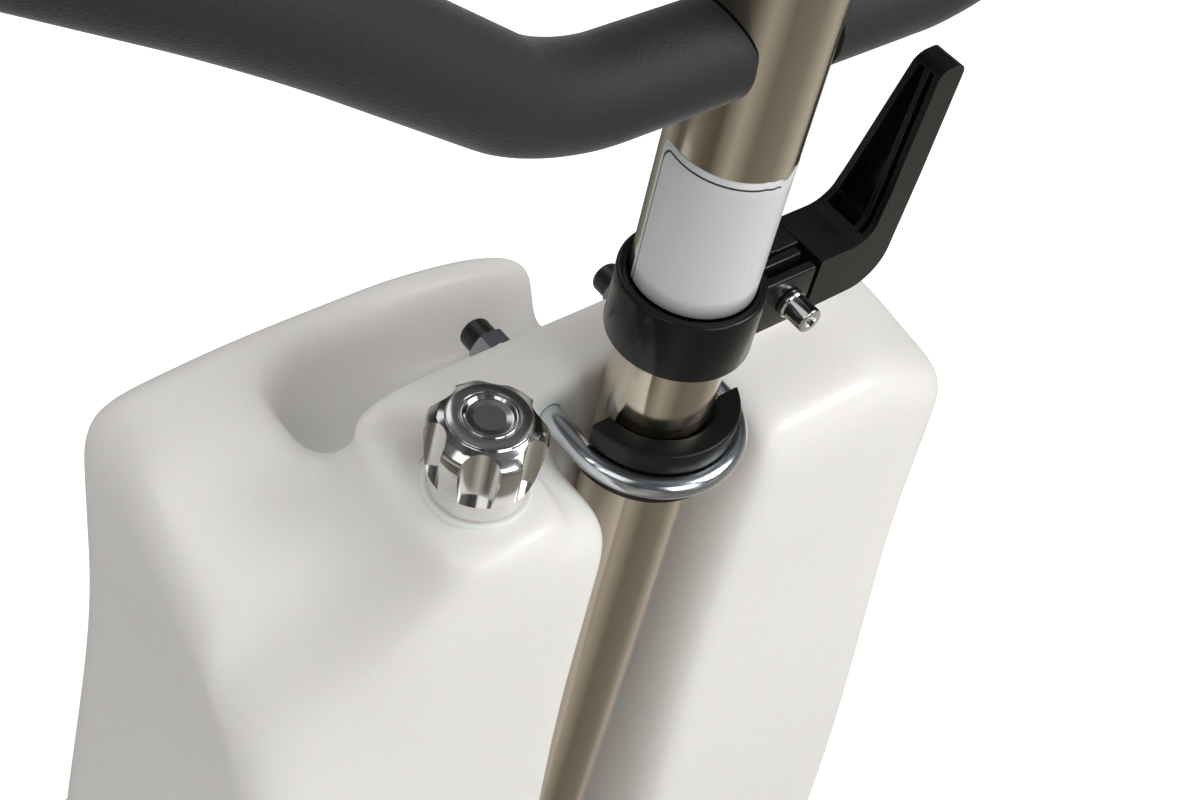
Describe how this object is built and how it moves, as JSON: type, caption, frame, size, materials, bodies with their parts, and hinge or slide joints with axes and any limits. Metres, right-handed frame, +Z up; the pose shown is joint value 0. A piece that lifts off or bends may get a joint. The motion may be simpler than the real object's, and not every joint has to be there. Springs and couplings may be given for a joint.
{
  "type": "walk-behind floor machine",
  "caption": "Walk-behind single-disc floor machine with a telescopic mast, quick-release clamp lever, foam loop handles and a white solution tank on the mast.",
  "frame": {"origin": "on the floor below the centre of the machine's box", "axes": "+Z up along the upright mast, +Y from the mast towards the deck, +X to the operator's right"},
  "size_m": [0.5038, 0.544, 1.2575],
  "materials": {
    "stainless": "brushed, warm reflections",
    "chrome": "bright chrome plating",
    "zinc": "bright zinc plating",
    "steel": "bare machined steel",
    "black_plastic": "moulded, semi-gloss black",
    "red_plastic": "moulded, red",
    "black_rubber": "matt black",
    "foam": "soft dark grey foam sleeve",
    "tank_plastic": "natural white polyethylene, satin",
    "cast_metal": "cast, satin grey",
    "motor_paint": "blue enamel",
    "windings": "laminations and varnished windings",
    "pad_fibre": "non-woven fibre pad",
    "tyre": "solid rubber"
  },
  "bodies": {
    "base": {"deck_housing": "cast_metal", "bumper_ring": "black_rubber", "yoke_bracket": "cast_metal", "gearbox_housing": "cast_metal", "motor_shell": "motor_paint", "stator": "windings", "bearing_bracket": "cast_metal", "lower_bearing": "steel", "upper_bearing": "steel", "motor_top_cover": "black_plastic", "capacitor_housing": "black_plastic", "wheel_axle": "steel", "pivot_pin": "zinc", "pedal_pin": "zinc"},
    "brush": {"drive_shaft": "steel", "pad_driver": "black_plastic", "scrub_pad": "pad_fibre"},
    "rotor": {"rotor_shaft": "steel", "rotor_core": "steel", "cooling_fan": "black_plastic"},
    "left_wheel": {"left_wheel_hub": "cast_metal", "left_wheel_tyre": "tyre"},
    "right_wheel": {"right_wheel_hub": "cast_metal", "right_wheel_tyre": "tyre"},
    "tilt_pedal": {"tilt_pedal": "cast_metal"},
    "mast": {"pivot_foot": "cast_metal", "lower_tube": "stainless", "tank_body": "tank_plastic", "tank_shelf": "stainless", "u_bolt": "zinc", "left_washer": "zinc", "right_washer": "zinc", "left_nut": "zinc", "right_nut": "zinc", "left_end_cap": "black_rubber", "right_end_cap": "black_rubber", "saddle_pad": "black_rubber", "stem_bonnet": "zinc", "outlet_barb": "black_plastic"},
    "valve": {"valve_knob": "chrome", "knob_cap": "chrome", "valve_stem": "steel"},
    "fill_cap": {"fill_cap": "black_plastic"},
    "upper_mast": {"upper_tube": "stainless", "clamp_collar": "black_plastic", "clamp_bolt": "zinc", "barrel_nut": "chrome", "lever_pin": "zinc", "left_handle_bar": "steel", "right_handle_bar": "steel", "left_foam_grip": "foam", "right_foam_grip": "foam", "switch_box": "black_plastic", "switch_box_cover": "black_plastic", "cord_gland": "black_rubber"},
    "lever": {"clamp_lever": "black_plastic"},
    "left_trigger": {"left_trigger": "black_plastic"},
    "right_trigger": {"right_trigger": "black_plastic"},
    "lock_button": {"lock_button": "red_plastic"}
  },
  "joints": [
    {"name": "brush_spin", "type": "hinge", "parent": "base", "child": "brush", "pos_m": [0, 0.067, 0], "axis": [0, 0, 1], "continuous": true},
    {"name": "rotor_spin", "type": "hinge", "parent": "base", "child": "rotor", "pos_m": [0, 0.067, 0.2], "axis": [0, 0, 1], "continuous": true},
    {"name": "left_wheel_spin", "type": "hinge", "parent": "base", "child": "left_wheel", "pos_m": [-0.09, -0.192, 0.0625], "axis": [1, 0, 0], "continuous": true},
    {"name": "right_wheel_spin", "type": "hinge", "parent": "base", "child": "right_wheel", "pos_m": [0.09, -0.192, 0.0625], "axis": [1, 0, 0], "continuous": true},
    {"name": "pedal_press", "type": "hinge", "parent": "base", "child": "tilt_pedal", "pos_m": [0, -0.199, 0.122], "axis": [1, 0, 0], "range_deg": [0, 14], "stiffness_Nm_per_rad": 8, "springref_deg": -4.58},
    {"name": "mast_tilt", "type": "hinge", "parent": "base", "child": "mast", "pos_m": [0, -0.147, 0.165], "axis": [1, 0, 0], "range_deg": [0, 50]},
    {"name": "mast_extend", "type": "slide", "parent": "mast", "child": "upper_mast", "axis": [0, 0, 1], "range_m": [-0.02, 0.1]},
    {"name": "knob_turn", "type": "hinge", "parent": "mast", "child": "valve", "pos_m": [-0.0676, -0.1458, 0.92], "axis": [0, 0, 1], "range_deg": [0, 180]},
    {"name": "cap_lift", "type": "slide", "parent": "mast", "child": "fill_cap", "axis": [0, 0, 1], "range_m": [0, 0.03]},
    {"name": "lever_swing", "type": "hinge", "parent": "upper_mast", "child": "lever", "pos_m": [0.0295, -0.1448, 0.9505], "axis": [0, 0, 1], "range_deg": [0, 100]},
    {"name": "left_squeeze", "type": "hinge", "parent": "upper_mast", "child": "left_trigger", "pos_m": [-0.066, -0.147, 1.20197], "axis": [0, 1, 0], "range_deg": [0, 8], "stiffness_Nm_per_rad": 1.5, "springref_deg": -8.59},
    {"name": "right_squeeze", "type": "hinge", "parent": "upper_mast", "child": "right_trigger", "pos_m": [0.066, -0.147, 1.20197], "axis": [0, -1, 0], "range_deg": [0, 8], "stiffness_Nm_per_rad": 1.5, "springref_deg": -8.59},
    {"name": "lock_press", "type": "slide", "parent": "upper_mast", "child": "lock_button", "axis": [0, 0, -1], "range_m": [0, 0.004], "stiffness_N_per_m": 500, "springref_m": -0.002}
  ],
  "couplings": [
    {"joint": "rotor_spin", "follows": "brush_spin", "ratio": 10}
  ]
}
